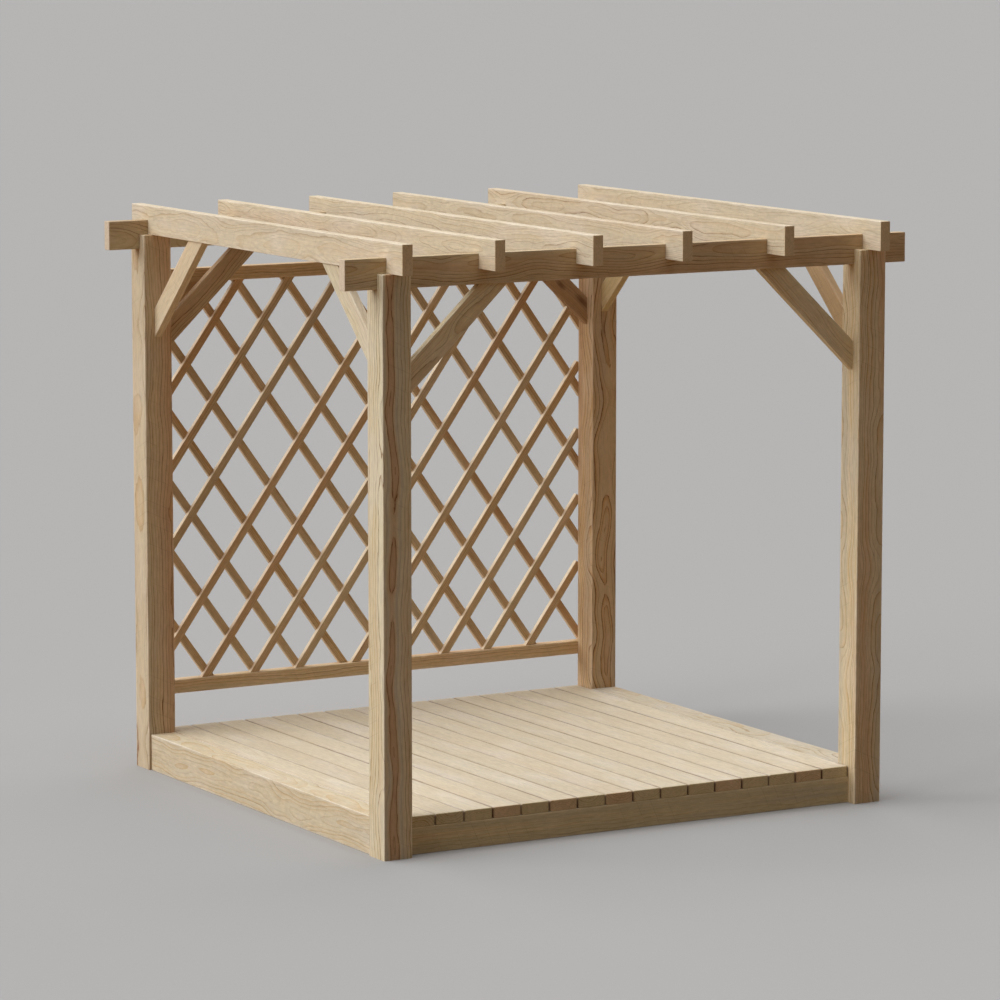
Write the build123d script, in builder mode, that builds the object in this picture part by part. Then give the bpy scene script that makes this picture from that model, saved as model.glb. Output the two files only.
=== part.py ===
"""Timber garden pergola: four slotted posts, two beams, six notched rafters, knee braces,
a diagonal trellis across the back and a boarded deck between the posts.

Millimetres, +Z up, +X along the beams, the front towards -Y.
The origin is on the ground, in the middle of the space that the beams and rafters span.
"""
import os
from math import atan2, cos, degrees, radians, sin, tan

from build123d import *

# Posts
post_span_x = 2320.0
post_span_y = 2217.0
post_size = 125.0
post_height = 2279.0
arris_radius = 4.0

# Beams, let down into slots in the post tops
beam_thickness = 45.0
beam_depth = 120.0
slot_depth = 60.0
slot_front_cheek = 43.0
beam_overhang_left = 140.0
beam_overhang_right = 124.0

# Rafters, notched over the beams, with places along the row as shares of its length
rafter_thickness = 45.0
rafter_depth = 120.0
rafter_overhang_front = 86.0
rafter_overhang_back = 73.0
rafter_place_shares = (0.0, 0.185, 0.385, 0.572, 0.79, 1.0)

# Knee braces, cut flush to the post and to the timber above
brace_width = 88.0
brace_thickness = 33.0
brace_reach = 456.0
brace_drop = 431.0

# Deck
deck_height = 152.0
board_count = 16
board_thickness = 45.0
board_gap = 5.0
board_chamfer = 4.0
deck_setback_front = 50.0
deck_setback_back = 5.0
joist_thickness = 45.0
inner_joist_count = 3
sill_inset_left = 11.0
sill_inset_right = 1.0

# Trellis, on the backs of the posts, with the feet of its slats as shares of the clear width
rail_height = 58.0
rail_thickness = 52.0
rail_lap = 60.0
rail_above_deck = 142.0
rail_below_beam = 101.0
slat_width = 33.0
slat_thickness = 22.0
slat_housing = 4.0
slat_setback = 12.0
front_slat_lap = 14.0
back_slat_lap = 40.0
slat_angle = 54.07
slat_foot_shares = (
    -1.013, -0.908, -0.791, -0.673, -0.522, -0.396, -0.283, -0.177, -0.043, 0.067, 0.173, 0.277, 0.383,
)

# Fits and shop sizes
joint_clearance = 0.5
cut_overrun = 10.0
end_chamfer_share = 0.5
small_arris_share = 0.5

# Post faces and centres
left = (beam_overhang_left - beam_overhang_right) / 2 - post_span_x / 2
right = left + post_span_x
front = (rafter_overhang_front - rafter_overhang_back) / 2 - post_span_y / 2
back = front + post_span_y
inner_left = left + post_size
inner_right = right - post_size
inner_front = front + post_size
inner_back = back - post_size
clear_width = inner_right - inner_left
clear_middle_x = (inner_left + inner_right) / 2
post_places = {
    "front_left": (left + post_size / 2, front + post_size / 2),
    "front_right": (right - post_size / 2, front + post_size / 2),
    "back_left": (left + post_size / 2, back - post_size / 2),
    "back_right": (right - post_size / 2, back - post_size / 2),
}

# Heights and lines of the roof timbers
beam_bottom = post_height - slot_depth
beam_middle = beam_bottom + beam_depth / 2
notch_depth = beam_depth - slot_depth
rafter_bottom = post_height
rafter_middle = rafter_bottom + rafter_depth / 2
slot_width = beam_thickness + 2 * joint_clearance
slot_offset = slot_front_cheek + beam_thickness / 2
beam_lines = {"front": front + slot_offset, "back": inner_back + slot_offset}
beam_length = post_span_x + beam_overhang_left + beam_overhang_right
rafter_length = post_span_y + rafter_overhang_front + rafter_overhang_back
rafter_row_start = left + post_size / 2
rafter_row_length = post_span_x - post_size

# Deck lines
joist_height = deck_height - board_thickness
deck_front = front + deck_setback_front
deck_back = back - deck_setback_back
board_pitch = clear_width / board_count
board_width = board_pitch - board_gap
board_length = deck_back - deck_front

# Trellis lines
lattice_front = back + slat_setback
bottom_rail_middle = deck_height + rail_above_deck + rail_height / 2
top_rail_middle = beam_bottom - rail_below_beam - rail_height / 2
slat_bottom = bottom_rail_middle + rail_height / 2
slat_top = top_rail_middle - rail_height / 2

end_chamfer = arris_radius * end_chamfer_share
small_arris = arris_radius * small_arris_share


def finish(solid, name):
    """Label a finished piece and write it to its own file."""
    solid.label = name
    export_step(solid, f"parts/{name}.step")


def lying_x(x, y, z):
    """A plane across a timber that runs along +X, with its second axis up."""
    return Plane(origin=(x, y, z), x_dir=(0, 1, 0), z_dir=(1, 0, 0))


def lying_y(x, y, z):
    """A plane across a timber that runs along +Y, with its second axis up."""
    return Plane(origin=(x, y, z), x_dir=(-1, 0, 0), z_dir=(0, 1, 0))


def make_post(name, x, y):
    """A square post with rounded arrises and a slot across its top for the beam."""
    with BuildPart() as post:
        with BuildSketch(Plane(origin=(x, y, 0))):
            RectangleRounded(post_size, post_size, arris_radius)
        extrude(amount=post_height)
        chamfer(post.faces().sort_by(Axis.Z)[-1].edges(), end_chamfer)
        slot_y = y - post_size / 2 + slot_offset
        with BuildSketch(Plane(origin=(x, slot_y, post_height))):
            Rectangle(post_size + 2 * cut_overrun, slot_width)
        extrude(amount=-slot_depth, mode=Mode.SUBTRACT)
    finish(post.part, name)


def make_beam(name, y):
    """A beam on edge along X, seated in the slots of two posts."""
    with BuildPart() as beam:
        with BuildSketch(lying_x(left - beam_overhang_left, y, beam_middle)):
            RectangleRounded(beam_thickness, beam_depth, small_arris)
        extrude(amount=beam_length)
        chamfer(beam.faces().sort_by(Axis.X)[0].edges(), small_arris * end_chamfer_share)
        chamfer(beam.faces().sort_by(Axis.X)[-1].edges(), small_arris * end_chamfer_share)
    finish(beam.part, name)


def make_rafter(name, x):
    """A rafter on edge along Y, notched down over both beams."""
    with BuildPart() as rafter:
        with BuildSketch(lying_y(x, front - rafter_overhang_front, rafter_middle)):
            RectangleRounded(rafter_thickness, rafter_depth, small_arris)
        extrude(amount=rafter_length)
        chamfer(rafter.faces().sort_by(Axis.Y)[0].edges(), small_arris * end_chamfer_share)
        chamfer(rafter.faces().sort_by(Axis.Y)[-1].edges(), small_arris * end_chamfer_share)
        with BuildSketch(Plane(origin=(x, 0, rafter_bottom))):
            with Locations(*[(0, y) for y in beam_lines.values()]):
                Rectangle(rafter_thickness + 2 * cut_overrun, slot_width)
        extrude(amount=notch_depth, mode=Mode.SUBTRACT)
    finish(rafter.part, name)


def make_brace(name, corner, along):
    """A knee brace in the corner of a post and the timber over it, reaching along a direction."""
    slope = atan2(brace_drop, brace_reach)
    face = Plane(origin=corner, x_dir=along, z_dir=Vector(*along).cross(Vector(0, 0, 1)))
    long_way = Vector(*along) * brace_reach + Vector(0, 0, brace_drop)
    with BuildPart() as brace:
        with BuildSketch(face):
            with BuildLine():
                Polyline(
                    (0, -brace_drop),
                    (brace_reach, 0),
                    (brace_reach - brace_width / sin(slope), 0),
                    (0, -brace_drop + brace_width / cos(slope)),
                    close=True,
                )
            make_face()
        extrude(amount=brace_thickness / 2, both=True)
        fillet(brace.edges().filter_by(Axis((0, 0, 0), long_way)), small_arris)
    finish(brace.part, name)


def make_sill(name, x_low, x_high):
    """A ground sill between two posts, closing the side of the deck to its full height."""
    with BuildPart() as sill:
        with BuildSketch(lying_y((x_low + x_high) / 2, inner_front, deck_height / 2)):
            RectangleRounded(x_high - x_low, deck_height, small_arris)
        extrude(amount=inner_back - inner_front)
    finish(sill.part, name)


def make_joist(name, y):
    """A joist along X between the sides of the deck, under the boards."""
    with BuildPart() as joist:
        with BuildSketch(lying_x(inner_left, y, joist_height / 2)):
            RectangleRounded(joist_thickness, joist_height, small_arris)
        extrude(amount=clear_width)
    finish(joist.part, name)


def make_board(name, x):
    """A deck board along Y with chamfered edges, laid with an open joint on either side."""
    with BuildPart() as board:
        with BuildSketch(lying_y(x, deck_front, joist_height + board_thickness / 2)) as section:
            Rectangle(board_width, board_thickness)
            chamfer(section.vertices(), board_chamfer)
        extrude(amount=board_length)
        chamfer(board.faces().sort_by(Axis.Y)[0].edges(), end_chamfer)
        chamfer(board.faces().sort_by(Axis.Y)[-1].edges(), end_chamfer)
    finish(board.part, name)


def make_rail(name, z):
    """A trellis rail that laps the backs of the posts."""
    with BuildPart() as rail:
        with BuildSketch(lying_x(inner_left - rail_lap, back + rail_thickness / 2, z)):
            RectangleRounded(rail_thickness, rail_height, small_arris)
        extrude(amount=clear_width + 2 * rail_lap)
    finish(rail.part, name)


def slat_spans(lap):
    """The two ends of each slat's centre line, lapped past the posts, from the panel's middle and foot."""
    rise = tan(radians(slat_angle))
    side = clear_width / 2 + lap
    height = slat_top - slat_bottom
    run_out = slat_width
    spans = []
    for share in slat_foot_shares:
        foot = share * clear_width
        start_x = max(-side, foot - run_out / rise)
        end_x = min(side, foot + (height + run_out) / rise)
        spans.append(((start_x, (start_x - foot) * rise), (end_x, (end_x - foot) * rise)))
    return spans


def make_lattice(name):
    """Two layers of slats at opposite slopes between the rails, housed into each other where they cross."""
    back_layer_front = lattice_front + slat_thickness - slat_housing
    layers = ((1, lattice_front, front_slat_lap), (-1, back_layer_front, back_slat_lap))
    with BuildPart() as lattice:
        for lean, layer_front, lap in layers:
            upright = Plane(
                origin=(clear_middle_x, layer_front, slat_bottom), x_dir=(1, 0, 0), z_dir=(0, -1, 0)
            )
            with BuildSketch(upright):
                for (x0, z0), (x1, z1) in slat_spans(lap):
                    length = ((x1 - x0) ** 2 + (z1 - z0) ** 2) ** 0.5
                    turn = degrees(atan2(z1 - z0, x1 - x0))
                    with Locations((lean * (x0 + x1) / 2, (z0 + z1) / 2)):
                        Rectangle(length, slat_width, rotation=lean * turn)
                Rectangle(
                    clear_width + 2 * rail_lap,
                    slat_top - slat_bottom,
                    align=(Align.CENTER, Align.MIN),
                    mode=Mode.INTERSECT,
                )
            extrude(amount=-slat_thickness)
    finish(lattice.part, name)


def make_posts():
    for place, (x, y) in post_places.items():
        make_post(f"{place}_post", x, y)


def make_roof():
    for side, y in beam_lines.items():
        make_beam(f"{side}_beam", y)
    for number, share in enumerate(rafter_place_shares, start=1):
        make_rafter(f"rafter_{number}", rafter_row_start + share * rafter_row_length)


def make_braces():
    """At each post, one brace under the beam and one under the end rafter, both leaning inwards."""
    for place, (x, y) in post_places.items():
        depth, side = place.split("_")
        beam_y = beam_lines[depth]
        inward_x = 1 if side == "left" else -1
        inward_y = 1 if depth == "front" else -1
        post_face_x = x + inward_x * post_size / 2
        post_face_y = y + inward_y * post_size / 2
        make_brace(f"{place}_beam_brace", (post_face_x, beam_y, beam_bottom), (inward_x, 0, 0))
        make_brace(f"{place}_rafter_brace", (x, post_face_y, rafter_bottom), (0, inward_y, 0))


def make_deck():
    make_sill("left_sill", left + sill_inset_left, inner_left)
    make_sill("right_sill", inner_right, right - sill_inset_right)
    first_joist = deck_front + joist_thickness / 2
    last_joist = deck_back - joist_thickness / 2
    make_joist("front_joist", first_joist)
    make_joist("back_joist", last_joist)
    joist_pitch = (last_joist - first_joist) / (inner_joist_count + 1)
    for number in range(1, inner_joist_count + 1):
        make_joist(f"inner_joist_{number}", first_joist + number * joist_pitch)
    for index in range(board_count):
        make_board(f"deck_board_{index + 1:02d}", inner_left + board_pitch / 2 + index * board_pitch)


def make_trellis():
    make_rail("trellis_bottom_rail", bottom_rail_middle)
    make_rail("trellis_top_rail", top_rail_middle)
    make_lattice("trellis_lattice")


os.makedirs("parts", exist_ok=True)
make_posts()
make_roof()
make_braces()
make_deck()
make_trellis()
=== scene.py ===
"""Looks of a timber garden pergola: solid pine on every timber, on a plain pale floor in soft studio light.

Metres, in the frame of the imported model: +Z up, +X along the beams, the front towards -Y.
"""

from math import cos, radians, sin
from random import Random

import bpy
from mathutils import Matrix, Vector


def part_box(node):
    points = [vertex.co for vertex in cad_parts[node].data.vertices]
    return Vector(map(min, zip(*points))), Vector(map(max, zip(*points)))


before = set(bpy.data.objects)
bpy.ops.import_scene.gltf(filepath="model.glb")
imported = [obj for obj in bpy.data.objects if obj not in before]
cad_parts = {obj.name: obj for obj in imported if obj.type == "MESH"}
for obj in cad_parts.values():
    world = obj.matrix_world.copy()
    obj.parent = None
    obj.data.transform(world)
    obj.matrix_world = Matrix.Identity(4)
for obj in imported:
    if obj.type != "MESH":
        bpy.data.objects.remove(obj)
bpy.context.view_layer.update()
scene = bpy.context.scene

# Camera, from the photograph's perspective: its angles in degrees, its sensor and lens in millimetres
camera_place = (-9.6925, -16.8364, 3.9219)
camera_pitch = 7.976
camera_yaw = -29.926
camera_sensor = 36.0
camera_lens = 169.776
camera_reach = 1000.0

# Studio: soft lamps, each with its bearing from +X, elevation, energy and colour
lamp_spread = 60.0
lamps = {
    "left_softbox": (172, 30, 2.05, (0.94, 0.97, 1.0)),
    "back_left_softbox": (135, 40, 1.30, (0.90, 0.94, 1.0)),
    "back_right_softbox": (33, 40, 0.90, (0.93, 0.95, 1.0)),
    "overhead_softbox": (90, 88, 1.65, (0.95, 0.97, 1.0)),
    "front_fill": (285, 20, 0.09, (1.0, 0.95, 0.85)),
}
floor_size = 400.0
floor_seen_color = (0.378, 0.362, 0.345)
floor_bounce_color = (0.21, 0.122, 0.060)
backdrop_color = (0.47, 0.47, 0.47)
backdrop_glow = 0.02

# Pine colours, as sRGB picks
early_wood = (214, 195, 160)
late_wood = (204, 170, 120)
pale_patch = (222, 205, 178)
ring_line = (128, 86, 52)
warm_streak = (204, 168, 130)
grey_streak = (190, 177, 154)
heart_wood = (188, 138, 100)
# Pale of worn arrises; the same colour is the painted highlight on the slats' edges
wear_and_highlight_pale = (230, 214, 188)
# Painted shade, with some dirt, in the deck joints
joint_shade_and_dirt_color = (112, 78, 44)
knot_heart = (92, 54, 30)

# How many features of each kind there are to the metre, along the grain, across it and through it
wander_rate = (2.6, 2.5, 2.5)
ripple_rate = (9.0, 26.0, 26.0)
streak_rate = (0.5, 14.0, 14.0)
patch_rate = (3.5, 9.0, 9.0)
mottle_rate = (30.0, 110.0, 110.0)
fibre_rate = (6.0, 240.0, 240.0)
wear_rate = (7.0, 20.0, 20.0)

# How fine the noise is that makes each of them
plain_detail = 2.0
uneven_detail = 1.0
wander_detail = 1.5
streak_detail = 2.5
ripple_detail = 3.0
noise_middle = (0.5, 0.5, 0.5)

# Rings: how unevenly they are spaced, how many rings they ripple and fray by, and how bold each line is
uneven_rate = 55.0
uneven_depth = 0.012
ripple_rings = 0.9
fray_rings = 0.15
ring_seed_step = 3.7
faintest_line = 0.35
bold_power = 2.0
square_to_grain = (0.0, 1.0, 1.0)
late_in_ring = ((0.0, 0.3), (0.1, 0.1), (0.5, 0.3), (0.85, 0.8), (1.0, 1.0))
line_in_ring = ((0.0, 0.4), (0.05, 0.0), (0.74, 0.0), (0.90, 0.35), (0.97, 1.0))
line_by_slope = ((0.0, 0.2), (0.15, 1.0))

# Streaks, patches and the heart: curves of straight runs through (place, height) stops
warm_in_streak = ((0.50, 0.0), (0.66, 0.75))
grey_in_streak = ((0.34, 0.75), (0.48, 0.0))
line_in_streak = ((0.36, 0.3), (0.58, 1.0))
pale_in_patch = ((0.50, 0.0), (0.68, 0.55))
heart_curve_scale = 0.5
heart_by_radius = ((0.28, 0.6), (0.50, 0.0))
margin_by_radius = ((0.42, 0.0), (0.55, 0.6), (0.80, 0.0))
no_heart = 0.001

# Checks, worn arrises, painted shade with dirt in the deck joints, and end grain
check_slant = (1.0, 0.45, 0.45)
checks_per_metre = 13.0
check_by_distance = ((0.0, 1.0), (0.03, 0.0))
check_in_patch = ((0.40, 1.0), (0.52, 0.0))
check_shade = 0.16
check_sink = 0.5
wear_width = 0.010
wear_by_noise = ((0.42, 0.0), (0.62, 0.8))
joint_shade_and_dirt_width = 0.006
joint_shade_and_dirt_in_patch = ((0.35, 0.7), (0.65, 1.0))
end_depth = 0.003

# The surface
fibre_contrast = 0.34
mottle_contrast = 0.40
bump_depth = 0.0010
bump_strength = 0.5
sheen_level = 0.15
least_roughness = 0.60
roughness_spread = 0.25

# Each family of timbers: its ring spacing, how far the rings wander, where the pith lies across and
# through the timber, and how strong its ring lines, its late wood and its streaks are
families = {
    "post": dict(pitch=0.0120, sway=0.110, pith=(0.030, 0.045), lines=1.2, late=0.8, streaks=0.7),
    "beam": dict(pitch=0.0090, sway=0.085, pith=(0.030, 0.050), lines=1.4, late=1.0, streaks=0.7),
    "rafter": dict(pitch=0.0085, sway=0.090, pith=(0.020, 0.055), lines=0.9, late=0.4, streaks=0.3),
    "beam_brace": dict(pitch=0.0090, sway=0.070, pith=(0.030, 0.050), lines=1.4, late=0.8, streaks=0.6),
    "rafter_brace": dict(pitch=0.0100, sway=0.070, pith=(0.030, 0.050), lines=0.5, late=0.3, streaks=0.3),
    "sill": dict(pitch=0.0170, sway=0.170, pith=(0.010, 0.035), lines=0.8, late=0.8, streaks=0.3),
    "joist": dict(pitch=0.0110, sway=0.060, pith=(0.060, 0.060), lines=0.5, late=0.6, streaks=1.3),
    "board": dict(pitch=0.0090, sway=0.050, pith=(0.012, 0.060), lines=0.15, late=0.3, streaks=0.2),
    "rail": dict(pitch=0.0080, sway=0.030, pith=(0.040, 0.060), lines=0.9, late=0.8, streaks=0.9),
    "lattice": dict(pitch=0.0080, sway=0.030, pith=(2.500, 0.020), lines=1.3, late=1.2, streaks=1.0),
}

# Timbers that differ from their family; a pith given here is at its own place, and a heart has a radius
characters = {
    "front_left_post": dict(pitch=0.0170, pith=(-0.026, -0.062), heart=0.026, lines=1.6, streaks=0.6),
    "front_right_post": dict(
        pitch=0.0085, sway=0.080, pith=(0.075, 0.075), lines=1.5, late=1.4, streaks=1.0
    ),
    "back_left_post": dict(sway=0.080, pith=(0.130, 0.010), heart=0.182, lines=2.1, late=1.8, streaks=0.4),
    "back_right_post": dict(pitch=0.0150, sway=0.160, pith=(0.010, -0.085), lines=2.0, late=2.2),
}

# How much of each colour a family throws back, against plain pine
plain_tint = (1.0, 1.0, 1.0)
family_tints = {
    "beam": (0.88, 0.85, 0.80),
    "rafter": (0.98, 1.00, 1.08),
    "rafter_brace": (0.97, 1.02, 1.09),
    "sill": (0.935, 0.97, 1.045),
    "joist": (1.09, 1.09, 0.98),
    "board": (0.945, 0.98, 1.085),
    "lattice": (0.95, 0.86, 0.79),
}

# The same for timbers that differ from their family; for three braces inside the pergola it is also painted
# shade
timber_tints_and_painted_shade = {
    "front_left_post": (1.04, 1.10, 1.15),
    "front_right_post": (1.00, 1.01, 1.02),
    "back_left_post": (1.02, 1.00, 0.99),
    "back_right_post": (0.97, 0.86, 0.80),
    "right_sill": (0.90, 0.945, 1.06),
    "trellis_top_rail": (0.97, 0.88, 0.81),
    "trellis_bottom_rail": (1.09, 0.99, 0.90),
    "front_left_beam_brace": (1.08, 1.14, 1.18),
    "front_right_beam_brace": (1.00, 1.05, 1.06),
    # Painted shade: this brace is darkened for the deep shade inside the pergola
    "front_right_rafter_brace": (0.70, 0.59, 0.49),
    # Partly this brace's own darker colour, partly painted shade inside the pergola
    "back_left_beam_brace": (0.68, 0.59, 0.51),
    "back_left_rafter_brace": (1.03, 1.01, 1.02),
    # Partly this brace's own darker colour, partly painted shade inside the pergola
    "back_right_beam_brace": (0.64, 0.49, 0.40),
    "back_right_rafter_brace": (0.92, 0.87, 0.72),
}

# Chance: how far one timber may differ from the next
tone_spread = 0.05
pitch_spread = 0.15
seed_range = (0.0, 100.0)

# Deck joints, counted from the left, with painted shade and dirt: how dark most of them are, and the
# fainter and the darker ones
joint_darkness = 0.85
faint_joints = (0, 1, 2, 4, 7, 13)
faint_darkness = 0.6
dark_joints = (3, 5, 11, 15, 16)
dark_darkness = 0.95

# Cut ends: their colours, how much of them shows, and how strong the ring lines are on the boards' ends
red_end = (206, 162, 104)
green_end = (204, 180, 116)
board_ends = (red_end, green_end, green_end)
board_end_share = 0.5
board_end_lines = (0.6, 2.0)
rafter_end = (200, 172, 124)
rafter_end_share = 0.6
beam_end = (228, 210, 190)
beam_end_share = 0.8

# Trellis slats: their lean in degrees, their eased arrises, how far one layer is let into the other, and
# how strong the highlight painted on their edges is
slat_angle = 54.07
slat_arris = 0.0012
slat_arris_steps = 2
weld_distance = 0.0001
slat_lap = 0.004
slat_highlight_share = 0.6
slat_highlight_by_facing = ((0.3, slat_highlight_share), (0.7, 0.0))

# Braces
brace_width = 0.088

# Knots: the timber, and each one's place along and across it, and its radius
knots = {"back_right_beam_brace": ((-0.090, -0.004, 0.016), (-0.222, 0.015, 0.020))}
knot_stretch = (0.4, 1.0, 0.0)
knot_by_radius = ((0.2, 0.7), (0.6, 0.4), (1.0, 0.0))

# Grain and wide-face directions of the timbers that lie along an axis, by the word in their names
along_x = Vector((1, 0, 0))
along_y = Vector((0, 1, 0))
up = Vector((0, 0, 1))
straight_timbers = {
    "post": (up, along_x),
    "beam": (along_x, up),
    "rail": (along_x, up),
    "joist": (along_x, up),
    "sill": (along_y, up),
    "board": (along_y, along_x),
    "rafter": (along_y, up),
}

# Where a mix node keeps its two values and its result, for each kind of value
mix_sockets = {"FLOAT": (2, 3, 0), "VECTOR": (4, 5, 1), "RGBA": (6, 7, 2)}


def linear(color):
    """An sRGB pick from 0 to 255 as a linear colour with alpha."""
    shares = [value / 255 for value in color]
    return (*[s / 12.92 if s <= 0.04045 else ((s + 0.055) / 1.055) ** 2.4 for s in shares], 1.0)


class Graph:
    """Short ways to add joined nodes to a node tree."""

    def __init__(self, tree):
        self.tree = tree

    def feed(self, socket, value):
        """Joins a socket to another one, or sets it to a constant."""
        if isinstance(value, bpy.types.NodeSocket):
            self.tree.links.new(value, socket)
        else:
            socket.default_value = value

    def add(self, kind, inputs=None, **settings):
        made = self.tree.nodes.new(kind)
        for name, value in settings.items():
            setattr(made, name, value)
        for socket, value in (inputs or {}).items():
            self.feed(made.inputs[socket], value)
        return made

    def math(self, operation, a, b=0.0, c=0.0, clamp=False):
        made = self.add("ShaderNodeMath", {0: a, 1: b, 2: c}, operation=operation, use_clamp=clamp)
        return made.outputs[0]

    def times(self, a, b):
        return self.math("MULTIPLY", a, b)

    def vector(self, operation, a, b=(0.0, 0.0, 0.0)):
        return self.add("ShaderNodeVectorMath", {0: a, 1: b}, operation=operation).outputs["Vector"]

    def length(self, a):
        return self.add("ShaderNodeVectorMath", {0: a}, operation="LENGTH").outputs["Value"]

    def dot(self, a, b):
        return self.add("ShaderNodeVectorMath", {0: a, 1: b}, operation="DOT_PRODUCT").outputs["Value"]

    def scale(self, a, factor):
        made = self.add("ShaderNodeVectorMath", {0: a, "Scale": factor}, operation="SCALE")
        return made.outputs["Vector"]

    def parts(self, vector):
        """The X, Y and Z of a vector."""
        return self.add("ShaderNodeSeparateXYZ", {0: vector}).outputs

    def noise(self, point, rate, seed, detail=plain_detail, output="Fac"):
        """Soft noise with that many features to the metre."""
        inputs = {"Vector": self.vector("MULTIPLY", point, rate), "W": seed, "Scale": 1.0, "Detail": detail}
        return self.add("ShaderNodeTexNoise", inputs, noise_dimensions="4D").outputs[output]

    def ramp(self, value, stops):
        """A curve of straight runs through (place, height) stops."""
        made = self.add("ShaderNodeValToRGB", {"Fac": value})
        elements = made.color_ramp.elements
        while len(elements) < len(stops):
            elements.new(1.0)
        for element, (position, height) in zip(elements, stops):
            element.position = position
            element.color = (height, height, height, 1.0)
        return made.outputs["Color"]

    def near(self, depth, width):
        """1 at an edge, falling to 0 at that width from it."""
        return self.math("SUBTRACT", 1.0, self.math("DIVIDE", depth, width), clamp=True)

    def mix(self, share, a, b, kind="RGBA"):
        """A mix of two colours, or of two values of another kind."""
        first, second, result = mix_sockets[kind]
        made = self.add("ShaderNodeMix", {0: share, first: a, second: b}, data_type=kind)
        return made.outputs[result]


def add_sockets(tree):
    """Names what the pine group takes and gives."""
    for name in ("Vector", "Facing", "Half", "Pith", "Tint"):
        tree.interface.new_socket(name, in_out="INPUT", socket_type="NodeSocketVector")
    for name in ("Seed", "Pitch", "Sway", "Lines", "Late", "Streaks", "Heart",
                 "Low joint shade and dirt", "High joint shade and dirt", "End share", "End lines"):
        tree.interface.new_socket(name, in_out="INPUT", socket_type="NodeSocketFloat")
    tree.interface.new_socket("End color", in_out="INPUT", socket_type="NodeSocketColor")
    tree.interface.new_socket("Color", in_out="OUTPUT", socket_type="NodeSocketColor")
    for name in ("Roughness", "Height"):
        tree.interface.new_socket(name, in_out="OUTPUT", socket_type="NodeSocketFloat")


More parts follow.
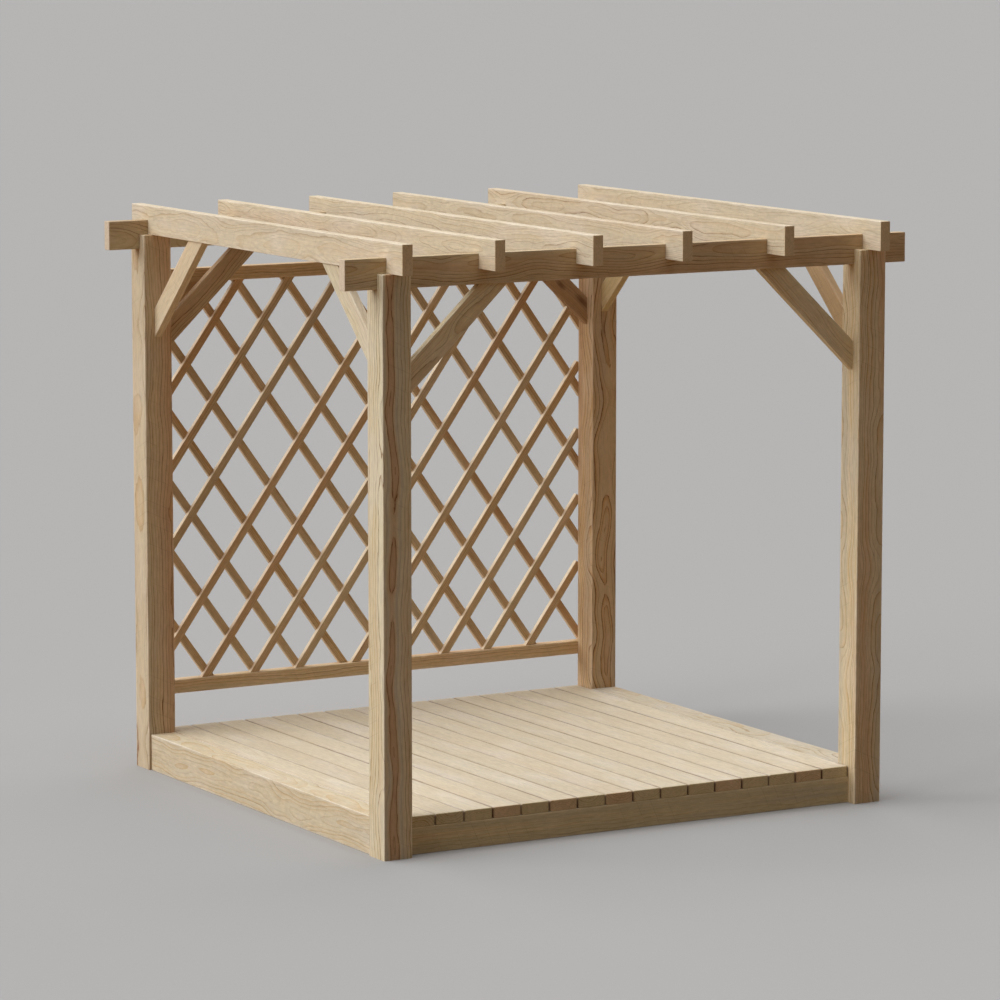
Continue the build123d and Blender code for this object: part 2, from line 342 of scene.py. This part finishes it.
def pine_group():
    """Solid pine as one node group: rings round a wandering pith, streaks, fibres, checks and worn arrises.

    Its vector is in metres from the timber's centre: along the grain, across the wide face, through it.
    """
    tree = bpy.data.node_groups.new("solid_pine", "ShaderNodeTree")
    add_sockets(tree)
    g = Graph(tree)
    given = g.add("NodeGroupInput").outputs
    point = given["Vector"]
    seed = given["Seed"]
    fibre = g.noise(point, fibre_rate, seed)
    patch = g.noise(point, patch_rate, seed)
    mottle = g.noise(point, mottle_rate, seed)

    # Rings are counted outwards from a pith that wanders along the timber
    wander = g.noise(point, wander_rate, seed, wander_detail, "Color")
    wander = g.vector("SUBTRACT", wander, noise_middle)
    from_pith = g.vector("SUBTRACT", point, given["Pith"])
    from_pith = g.vector("ADD", from_pith, g.scale(wander, given["Sway"]))
    outwards = g.vector("MULTIPLY", from_pith, square_to_grain)
    radius = g.length(outwards)
    uneven_place = g.math("MULTIPLY_ADD", radius, uneven_rate, seed)
    uneven = g.add(
        "ShaderNodeTexNoise",
        {"W": uneven_place, "Scale": 1.0, "Detail": uneven_detail},
        noise_dimensions="1D",
    ).outputs["Fac"]
    grown = g.math("MULTIPLY_ADD", uneven, uneven_depth, radius)
    rings = g.math("DIVIDE", grown, given["Pitch"])
    ripple = g.noise(point, ripple_rate, seed, ripple_detail)
    rings = g.math("MULTIPLY_ADD", ripple, ripple_rings, rings)
    rings = g.math("MULTIPLY_ADD", fibre, fray_rings, rings)

    # Each ring has its own share of late wood and its own bold or faint line
    share = g.math("FRACT", rings)
    number = g.math("MULTIPLY_ADD", seed, ring_seed_step, g.math("FLOOR", rings))
    chance = g.add("ShaderNodeTexWhiteNoise", {"W": number}, noise_dimensions="1D").outputs["Color"]
    chance = g.parts(chance)
    late = g.times(g.ramp(share, late_in_ring), chance["X"])
    late = g.times(late, given["Late"])
    bold = g.math("POWER", chance["Y"], bold_power)
    bold = g.math("MULTIPLY_ADD", bold, 1.0 - faintest_line, faintest_line)
    line = g.times(g.ramp(share, line_in_ring), bold)

    # Broad streaks along the grain, some warmer and some greyer; the lines come and go along them
    streak = g.noise(point, streak_rate, seed, streak_detail, "Color")
    streak = g.parts(streak)
    warm = g.times(g.ramp(streak["X"], warm_in_streak), given["Streaks"])
    grey = g.times(g.ramp(streak["X"], grey_in_streak), given["Streaks"])
    strength = g.times(g.ramp(streak["Y"], line_in_streak), given["Lines"])

    # Where the rings lie flat to a face, their lines would spread into broad bands, so they fade there
    flat = g.dot(g.vector("NORMALIZE", outwards), given["Facing"])
    steep = g.math("SUBTRACT", 1.0, g.times(flat, flat))
    strength = g.times(strength, g.ramp(steep, line_by_slope))

    # A redder heart round the pith, with a greyer margin
    heart_place = g.math("DIVIDE", radius, given["Heart"])
    heart_place = g.times(heart_place, heart_curve_scale)
    heart = g.ramp(heart_place, heart_by_radius)
    margin = g.ramp(heart_place, margin_by_radius)

    # Pale patches, and faint slanted checks between them
    pale = g.ramp(patch, pale_in_patch)
    check_place = g.math("ADD", g.dot(point, check_slant), seed)
    check_distance = g.add(
        "ShaderNodeTexVoronoi",
        {"W": check_place, "Scale": checks_per_metre},
        voronoi_dimensions="1D",
        feature="DISTANCE_TO_EDGE",
    ).outputs["Distance"]
    check = g.times(g.ramp(check_distance, check_by_distance), g.ramp(patch, check_in_patch))

    # Places near the timber's edges: worn pale arrises, painted shade with dirt in the deck joints, and end
    # grain
    inside = g.vector("SUBTRACT", given["Half"], g.vector("ABSOLUTE", point))
    inside = g.parts(inside)
    near_arris = g.times(g.near(inside["Y"], wear_width), g.near(inside["Z"], wear_width))
    wear = g.times(near_arris, g.ramp(g.noise(point, wear_rate, seed), wear_by_noise))
    is_high = g.math("GREATER_THAN", g.parts(point)["Y"], 0.0)
    joint_shade_and_dirt = g.mix(is_high, given["Low joint shade and dirt"], given["High joint shade and dirt"], "FLOAT")
    joint_shade_and_dirt = g.times(joint_shade_and_dirt, g.near(inside["Y"], joint_shade_and_dirt_width))
    joint_shade_and_dirt = g.times(joint_shade_and_dirt, g.ramp(patch, joint_shade_and_dirt_in_patch))
    at_end = g.math("LESS_THAN", inside["X"], end_depth)
    strength = g.math("MULTIPLY_ADD", at_end, given["End lines"], strength)

    # All of it laid over plain early wood
    color = g.mix(late, linear(early_wood), linear(late_wood))
    color = g.mix(pale, color, linear(pale_patch))
    color = g.mix(warm, color, linear(warm_streak))
    color = g.mix(grey, color, linear(grey_streak))
    color = g.mix(heart, color, linear(heart_wood))
    color = g.mix(margin, color, linear(grey_streak))
    color = g.mix(g.times(line, strength), color, linear(ring_line))
    color = g.mix(wear, color, linear(wear_and_highlight_pale))
    color = g.mix(g.times(at_end, given["End share"]), color, given["End color"])
    shade = g.math("MULTIPLY_ADD", fibre, fibre_contrast, 1.0 - (fibre_contrast + mottle_contrast) / 2)
    shade = g.math("MULTIPLY_ADD", mottle, mottle_contrast, shade)
    shade = g.times(shade, g.math("MULTIPLY_ADD", check, -check_shade, 1.0))
    # The tint also darkens three braces with painted shade
    color = g.vector("MULTIPLY", g.scale(color, shade), given["Tint"])
    color = g.mix(joint_shade_and_dirt, color, linear(joint_shade_and_dirt_color))
    height = g.math("MULTIPLY_ADD", check, -check_sink, g.math("ADD", fibre, mottle))
    roughness = g.math("MULTIPLY_ADD", fibre, roughness_spread, least_roughness)
    g.add("NodeGroupOutput", {"Color": color, "Roughness": roughness, "Height": height})
    return tree


def add_knots(g, point, color, places):
    """Darkens knots, drawn out along the grain, into a timber's colour."""
    for along, across, radius in places:
        off = g.vector("SUBTRACT", point, (along, across, 0.0))
        off = g.length(g.vector("MULTIPLY", off, knot_stretch))
        share = g.ramp(g.math("DIVIDE", off, radius), knot_by_radius)
        color = g.mix(share, color, linear(knot_heart))
    return color


def paint_slat_edge_highlight(g, color):
    """Paints a highlight on the edges of the slats, which face along the trellis, in the pale colour of
    worn arrises.
    """
    normal = g.add("ShaderNodeNewGeometry").outputs["Normal"]
    facing_out = g.math("ABSOLUTE", g.parts(normal)["Y"])
    return g.mix(g.ramp(facing_out, slat_highlight_by_facing), color, linear(wear_and_highlight_pale))


def darkness_of(joint):
    """How dark a deck joint is."""
    if joint in faint_joints:
        return faint_darkness
    if joint in dark_joints:
        return dark_darkness
    return joint_darkness


def pine_material(name, group, point_of, half, kind):
    """One timber's own pine. point_of adds the nodes that give the place in the timber."""
    material = bpy.data.materials.new(name)
    material.use_nodes = True
    g = Graph(material.node_tree)
    shader = material.node_tree.nodes["Principled BSDF"]
    draw = Random(name)
    character = characters.get(name, {})
    own = {**families[kind], **character}
    sides = (1, 1) if "pith" in character else (draw.choice((-1, 1)), draw.choice((-1, 1)))
    tone = 1.0 + tone_spread * draw.uniform(-1.0, 1.0)
    tint_and_painted_shade = timber_tints_and_painted_shade.get(name, family_tints.get(kind, plain_tint))
    point, facing = point_of(g)
    inputs = {
        "Vector": point,
        "Facing": facing,
        "Half": half,
        "Pith": (0.0, own["pith"][0] * sides[0], own["pith"][1] * sides[1]),
        "Seed": draw.uniform(*seed_range),
        "Pitch": own["pitch"] * (1.0 + pitch_spread * draw.uniform(-1.0, 1.0)),
        "Sway": own["sway"],
        "Lines": own["lines"],
        "Late": own["late"],
        "Streaks": own["streaks"],
        "Heart": own.get("heart", no_heart),
        "Tint": [tone * share for share in tint_and_painted_shade],
    }
    if kind == "board":
        joint = int(name[-2:]) - 1
        # Painted shade with dirt in the joints on each side of the board
        inputs["Low joint shade and dirt"] = darkness_of(joint)
        inputs["High joint shade and dirt"] = darkness_of(joint + 1)
        inputs["End share"] = board_end_share
        inputs["End lines"] = draw.uniform(*board_end_lines)
        inputs["End color"] = linear(draw.choice(board_ends))
    if kind == "rafter":
        inputs["End share"] = rafter_end_share
        inputs["End color"] = linear(rafter_end)
    if kind == "beam":
        inputs["End share"] = beam_end_share
        inputs["End color"] = linear(beam_end)
    wood = g.add("ShaderNodeGroup", inputs, node_tree=group).outputs
    color = add_knots(g, point, wood["Color"], knots.get(name, ()))
    # The lattice's slats get a painted highlight on their edges
    if kind == "lattice":
        color = paint_slat_edge_highlight(g, color)
    bump = {"Height": wood["Height"], "Distance": bump_depth, "Strength": bump_strength}
    g.feed(shader.inputs["Base Color"], color)
    g.feed(shader.inputs["Roughness"], wood["Roughness"])
    g.feed(shader.inputs["Normal"], g.add("ShaderNodeBump", bump).outputs["Normal"])
    shader.inputs["Specular IOR Level"].default_value = sheen_level
    return material


def place_in_timber(g, centre, grain, wide):
    """Nodes that turn a place, and the direction its surface faces, into the timber's own.

    The timber's own directions are along the grain, across the wide face and through it.
    """
    turn = Matrix((grain, wide, grain.cross(wide))).transposed().to_euler()
    place = g.add("ShaderNodeTexCoord").outputs["Object"]
    place = {"Vector": place, "Location": centre, "Rotation": turn}
    place = g.add("ShaderNodeMapping", place, vector_type="TEXTURE").outputs["Vector"]
    normal = g.add("ShaderNodeNewGeometry").outputs["True Normal"]
    normal = {"Vector": normal, "Rotation": turn}
    normal = g.add("ShaderNodeMapping", normal, vector_type="TEXTURE").outputs["Vector"]
    return place, normal


def lie_of_brace(name, low, high):
    """A knee brace's centre, grain and wide-face directions, half size and family, from its box."""
    size = high - low
    under_beam = name.endswith("_beam_brace")
    level = along_x * size.x if under_beam else along_y * size.y
    rises_to_minus = "_right_" in name if under_beam else name.startswith("back_")
    if rises_to_minus:
        level = -level
    thick = along_y if under_beam else along_x
    grain = (level + up * size.z).normalized()
    wide = thick.cross(grain)
    if wide.z < 0:
        wide = -wide
    centre = (low + high) / 2 + wide * brace_width / 2
    thickness = abs(size.dot(grain.cross(wide)))
    half = (size.length / 2, brace_width / 2, thickness / 2)
    return centre, grain, wide, half, "beam_brace" if under_beam else "rafter_brace"


def lie_of_straight(name, low, high):
    """The same for a timber that lies along an axis."""
    size = high - low
    kind = next(word for word in straight_timbers if word in name)
    grain, wide = straight_timbers[kind]
    half = [abs(size.dot(axis)) / 2 for axis in (grain, wide, grain.cross(wide))]
    return (low + high) / 2, grain, wide, half, kind


def slat_place(g, low, high):
    """Places in the trellis: the front layer of slats leans right and the back layer leans left.

    The layers are let into each other, so the layer is told from a place just under the surface.
    """
    centre = (low + high) / 2
    lean = radians(slat_angle)
    layers = []
    for side in (1, -1):
        grain = Vector((side * cos(lean), 0, sin(lean)))
        wide = Vector((-side * sin(lean), 0, cos(lean)))
        layers.append(place_in_timber(g, centre, grain, wide))
    place = g.add("ShaderNodeTexCoord").outputs["Object"]
    facing = g.add("ShaderNodeNewGeometry").outputs["True Normal"]
    under = g.math("MULTIPLY_ADD", g.parts(facing)["Y"], -slat_lap, g.parts(place)["Y"])
    behind = g.math("GREATER_THAN", under, centre.y)
    return [g.mix(behind, front, back, "VECTOR") for front, back in zip(*layers)]


def dress(name, piece, group):
    """Gives a timber its own pine."""
    low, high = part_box(name)
    if name == "trellis_lattice":
        # Its slats lie at many places, so no arrises are found from the box
        half = high - low
        material = pine_material(name, group, lambda g: slat_place(g, low, high), half, "lattice")
    else:
        lie_of = lie_of_brace if name.endswith("_brace") else lie_of_straight
        centre, grain, wide, half, kind = lie_of(name, low, high)
        material = pine_material(name, group, lambda g: place_in_timber(g, centre, grain, wide), half, kind)
    piece.data.materials.clear()
    piece.data.materials.append(material)


def ease_slats(piece):
    """Eases the arrises of the trellis slats."""
    weld = piece.modifiers.new("join_faces", "WELD")
    weld.merge_threshold = weld_distance
    bevel = piece.modifiers.new("eased_arrises", "BEVEL")
    bevel.width = slat_arris
    bevel.segments = slat_arris_steps
    bevel.limit_method = "ANGLE"
    bevel.harden_normals = True


def show_or_light(g, seen, bounced):
    """Mixes two shaders: one that the camera, gloss and glass see, and one that lights the object."""
    path = g.add("ShaderNodeLightPath").outputs
    direct = g.math("MAXIMUM", path["Is Glossy Ray"], path["Is Transmission Ray"])
    direct = g.math("MAXIMUM", direct, path["Is Camera Ray"])
    return g.add("ShaderNodeMixShader", {0: direct, 1: bounced, 2: seen}).outputs[0]


def build_floor():
    """A plain pale floor."""
    bpy.ops.mesh.primitive_plane_add(size=floor_size)
    floor = bpy.context.object
    floor.name = "floor"
    material = bpy.data.materials.new("pale_floor")
    material.use_nodes = True
    nodes = material.node_tree.nodes
    nodes.remove(nodes["Principled BSDF"])
    g = Graph(material.node_tree)
    seen = g.add("ShaderNodeBsdfDiffuse", {"Color": (*floor_seen_color, 1.0)}).outputs[0]
    bounced = g.add("ShaderNodeBsdfDiffuse", {"Color": (*floor_bounce_color, 1.0)}).outputs[0]
    g.feed(nodes["Material Output"].inputs["Surface"], show_or_light(g, seen, bounced))
    floor.data.materials.append(material)


def build_world():
    """A plain backdrop in the floor's tone, which adds only a little light."""
    world = bpy.data.worlds.new("studio")
    world.use_nodes = True
    nodes = world.node_tree.nodes
    nodes.remove(nodes["Background"])
    g = Graph(world.node_tree)
    tone = (*backdrop_color, 1.0)
    seen = g.add("ShaderNodeBackground", {"Color": tone, "Strength": 1.0}).outputs[0]
    bounced = g.add("ShaderNodeBackground", {"Color": tone, "Strength": backdrop_glow}).outputs[0]
    g.feed(nodes["World Output"].inputs["Surface"], show_or_light(g, seen, bounced))
    scene.world = world


def build_lamps():
    """Soft lamps far off, each shining from its bearing and elevation."""
    for name, (bearing, elevation, energy, color) in lamps.items():
        data = bpy.data.lights.new(name, "SUN")
        data.energy = energy
        data.color = color
        data.angle = radians(lamp_spread)
        lamp = bpy.data.objects.new(name, data)
        turn, rise = radians(bearing), radians(elevation)
        towards = Vector((cos(turn) * cos(rise), sin(turn) * cos(rise), sin(rise)))
        lamp.rotation_euler = towards.to_track_quat("Z", "Y").to_euler()
        scene.collection.objects.link(lamp)


def build_camera():
    """The camera that sees the pergola as the photograph does."""
    data = bpy.data.cameras.new("camera")
    data.sensor_width = camera_sensor
    data.lens = camera_lens
    data.clip_end = camera_reach
    camera = bpy.data.objects.new("camera", data)
    camera.location = camera_place
    camera.rotation_euler = (radians(90 - camera_pitch), 0, radians(camera_yaw))
    scene.collection.objects.link(camera)
    scene.camera = camera


pine = pine_group()
for node_name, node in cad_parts.items():
    dress(node_name, node, pine)
ease_slats(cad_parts["trellis_lattice"])
build_floor()
build_world()
build_lamps()
build_camera()
scene.view_settings.view_transform = "Standard"
